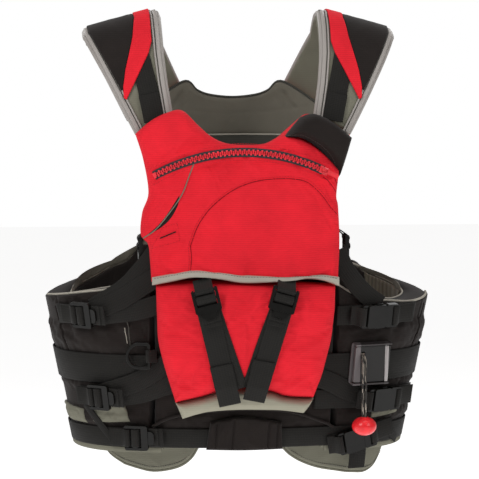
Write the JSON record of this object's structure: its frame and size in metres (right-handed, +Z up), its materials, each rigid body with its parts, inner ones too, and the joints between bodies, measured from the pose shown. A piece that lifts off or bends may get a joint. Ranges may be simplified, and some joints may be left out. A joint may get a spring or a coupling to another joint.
{
  "type": "life jacket",
  "caption": "Rescue life jacket with shoulder straps, chest and belly pockets, side wings, adjustable webbing, side-release buckles, and a quick-release belt with a ball toggle.",
  "frame": {"origin": "on the wearer's body axis, level with the lowest hem", "axes": "+Z up along the wearer's spine, -Y the vest's front, +X to the right as seen from the front"},
  "size_m": [0.5042, 0.3346, 0.5982],
  "materials": {
    "foam": "soft closed-cell foam",
    "red_fabric": "coated nylon with a fine crosswise rib",
    "black_fabric": "coated nylon, matte",
    "grey_lining": "smooth lining",
    "grey_trim": "coated nylon, matte",
    "piping": "reflective tape",
    "binding": "woven edge binding",
    "webbing": "ribbed nylon webbing",
    "zipper_tape": "woven tape",
    "zipper_plastic": "moulded teeth",
    "zipper_paint": "enamelled die casting",
    "buckle_plastic": "moulded acetal",
    "dark_plastic": "smooth moulded plastic",
    "steel": "satin",
    "cord": "braided cord with light flecks",
    "ball": "glossy moulding"
  },
  "bodies": {
    "vest": {"back_cover": "red_fabric", "back_foam": "foam", "back_lining": "grey_lining", "belt_tunnel": "black_fabric", "buckle_plugs": "buckle_plastic", "chest_pocket": "red_fabric", "front_cover": "red_fabric", "front_foam": "foam", "front_lining": "grey_lining", "hand_flap": "red_fabric", "hem_belt": "webbing", "hem_lobes": "grey_trim", "left_shoulder_pad": "grey_lining", "left_wing_cover": "black_fabric", "left_wing_foam": "foam", "left_wing_lining": "grey_lining", "lower_pouch": "red_fabric", "pocket_lip": "binding", "pouch_straps": "webbing", "pouch_trim": "grey_trim", "release_frame": "steel", "release_pin": "steel", "rescue_belt": "webbing", "right_shoulder_pad": "grey_lining", "right_wing_cover": "black_fabric", "right_wing_foam": "foam", "right_wing_lining": "grey_lining", "ring_tabs": "webbing", "shoulder_band": "black_fabric", "shoulder_piping": "piping", "shoulder_stripes": "red_fabric", "shoulder_webbing": "webbing", "shoulder_yokes": "black_fabric", "wing_straps": "webbing", "zipper_tape": "zipper_tape", "zipper_teeth": "zipper_plastic"},
    "zipper_slider": {"zipper_slider": "zipper_paint"},
    "zipper_pull": {"zipper_pull": "zipper_paint"},
    "release_lever": {"release_lever": "dark_plastic"},
    "release_toggle": {"release_cord_left": "cord", "release_cord_right": "cord", "release_ball": "ball"},
    "tether_ring": {"tether_ring": "buckle_plastic"},
    "tow_ring": {"tow_ring": "buckle_plastic"},
    "ladder_lock_top": {"ladder_lock_top": "buckle_plastic"},
    "ladder_lock_middle": {"ladder_lock_middle": "buckle_plastic"},
    "ladder_lock_low": {"ladder_lock_low": "buckle_plastic"},
    "left_pouch_lock": {"left_pouch_lock": "buckle_plastic"},
    "right_pouch_lock": {"right_pouch_lock": "buckle_plastic"},
    "left_shoulder_lock": {"left_shoulder_lock": "buckle_plastic"},
    "right_shoulder_lock": {"right_shoulder_lock": "buckle_plastic"},
    "buckle_socket_top": {"buckle_socket_top": "buckle_plastic"},
    "prong_upper_top": {"prong_upper_top": "buckle_plastic"},
    "prong_lower_top": {"prong_lower_top": "buckle_plastic"},
    "buckle_socket_middle": {"buckle_socket_middle": "buckle_plastic"},
    "prong_upper_middle": {"prong_upper_middle": "buckle_plastic"},
    "prong_lower_middle": {"prong_lower_middle": "buckle_plastic"},
    "buckle_socket_low": {"buckle_socket_low": "buckle_plastic"},
    "prong_upper_low": {"prong_upper_low": "buckle_plastic"},
    "prong_lower_low": {"prong_lower_low": "buckle_plastic"}
  },
  "joints": [
    {"name": "zipper_slide", "type": "hinge", "parent": "vest", "child": "zipper_slider", "pos_m": [-0.00307, -0.0899, 0.21257], "axis": [0.0053, 0.9614, 0.275], "range_deg": [-54, 0]},
    {"name": "zipper_pull_flip", "type": "hinge", "parent": "zipper_slider", "child": "zipper_pull", "pos_m": [0.09707, -0.14956, 0.39862], "axis": [-0.4194, -0.1647, -0.8927], "range_deg": [0, 125]},
    {"name": "ladder_lock_top_tilt", "type": "hinge", "parent": "vest", "child": "ladder_lock_top", "pos_m": [-0.213, -0.09547, 0.215], "axis": [0.1279, 0.1487, -0.9806], "range_deg": [0, 30]},
    {"name": "ladder_lock_middle_tilt", "type": "hinge", "parent": "vest", "child": "ladder_lock_middle", "pos_m": [-0.192, -0.08504, 0.109], "axis": [0.1145, 0.1592, -0.9806], "range_deg": [0, 30]},
    {"name": "ladder_lock_low_tilt", "type": "hinge", "parent": "vest", "child": "ladder_lock_low", "pos_m": [-0.147, -0.09389, 0.0575], "axis": [0.0559, 0.188, -0.9806], "range_deg": [0, 30]},
    {"name": "left_pouch_lock_tilt", "type": "hinge", "parent": "vest", "child": "left_pouch_lock", "pos_m": [-0.055, -0.18542, 0.253], "axis": [-0.9683, 0.0668, -0.2407], "range_deg": [0, 30]},
    {"name": "right_pouch_lock_tilt", "type": "hinge", "parent": "vest", "child": "right_pouch_lock", "pos_m": [0.046, -0.1862, 0.253], "axis": [-0.9605, -0.0479, 0.2743], "range_deg": [0, 30]},
    {"name": "left_shoulder_lock_tilt", "type": "hinge", "parent": "vest", "child": "left_shoulder_lock", "pos_m": [-0.13, -0.099, 0.311], "axis": [0, 1, 0], "range_deg": [0, 30]},
    {"name": "right_shoulder_lock_tilt", "type": "hinge", "parent": "vest", "child": "right_shoulder_lock", "pos_m": [0.13, -0.099, 0.311], "axis": [0, -1, 0], "range_deg": [0, 30]},
    {"name": "tether_ring_swing", "type": "hinge", "parent": "vest", "child": "tether_ring", "pos_m": [-0.12, -0.12301, 0.165], "axis": [0, 0, 1], "range_deg": [0, 105]},
    {"name": "tow_ring_swing", "type": "hinge", "parent": "vest", "child": "tow_ring", "pos_m": [0, 0.1352, 0.167], "axis": [1, 0, 0], "range_deg": [-4, 140]},
    {"name": "buckle_release_top", "type": "slide", "parent": "vest", "child": "buckle_socket_top", "axis": [-0.9287, -0.3708, 0], "range_m": [0, 0.025]},
    {"name": "prong_squeeze_upper_top", "type": "hinge", "parent": "vest", "child": "prong_upper_top", "pos_m": [0.17661, -0.12, 0.22184], "axis": [0.3636, -0.9107, -0.1961], "range_deg": [0, 8], "stiffness_Nm_per_rad": 0.05},
    {"name": "prong_squeeze_lower_top", "type": "hinge", "parent": "vest", "child": "prong_lower_top", "pos_m": [0.17531, -0.11672, 0.20419], "axis": [0.3636, -0.9107, -0.1961], "range_deg": [-8, 0], "stiffness_Nm_per_rad": 0.05},
    {"name": "buckle_release_middle", "type": "slide", "parent": "vest", "child": "buckle_socket_middle", "axis": [-0.8463, -0.5328, 0], "range_m": [0, 0.025]},
    {"name": "prong_squeeze_upper_middle", "type": "hinge", "parent": "vest", "child": "prong_upper_middle", "pos_m": [0.18586, -0.09111, 0.11184], "axis": [0.5224, -0.8298, -0.1961], "range_deg": [0, 8], "stiffness_Nm_per_rad": 0.05},
    {"name": "prong_squeeze_lower_middle", "type": "hinge", "parent": "vest", "child": "prong_lower_middle", "pos_m": [0.18398, -0.08812, 0.09419], "axis": [0.5224, -0.8298, -0.1961], "range_deg": [-8, 0], "stiffness_Nm_per_rad": 0.05},
    {"name": "buckle_release_low", "type": "slide", "parent": "vest", "child": "buckle_socket_low", "axis": [-0.9405, -0.2434, -0.2372], "range_m": [0, 0.025]},
    {"name": "prong_squeeze_upper_low", "type": "hinge", "parent": "vest", "child": "prong_upper_low", "pos_m": [0.15001, -0.09511, 0.06211], "axis": [0.2918, -0.9362, -0.1961], "range_deg": [0, 8], "stiffness_Nm_per_rad": 0.05},
    {"name": "prong_squeeze_lower_low", "type": "hinge", "parent": "vest", "child": "prong_lower_low", "pos_m": [0.15315, -0.09055, 0.04498], "axis": [0.2918, -0.9362, -0.1961], "range_deg": [-8, 0], "stiffness_Nm_per_rad": 0.05},
    {"name": "release_lever_open", "type": "hinge", "parent": "vest", "child": "release_lever", "pos_m": [0.18197, -0.10319, 0.15071], "axis": [0.0594, -0.1869, 0.9806], "range_deg": [0, 90]},
    {"name": "toggle_swing", "type": "hinge", "parent": "release_lever", "child": "release_toggle", "pos_m": [0.14939, -0.11622, 0.16447], "axis": [0.297, -0.9345, -0.1961], "range_deg": [-30, 15]}
  ],
  "couplings": [
    {"joint": "prong_squeeze_lower_top", "follows": "prong_squeeze_upper_top", "ratio": -1},
    {"joint": "prong_squeeze_lower_middle", "follows": "prong_squeeze_upper_middle", "ratio": -1},
    {"joint": "prong_squeeze_lower_low", "follows": "prong_squeeze_upper_low", "ratio": -1}
  ]
}
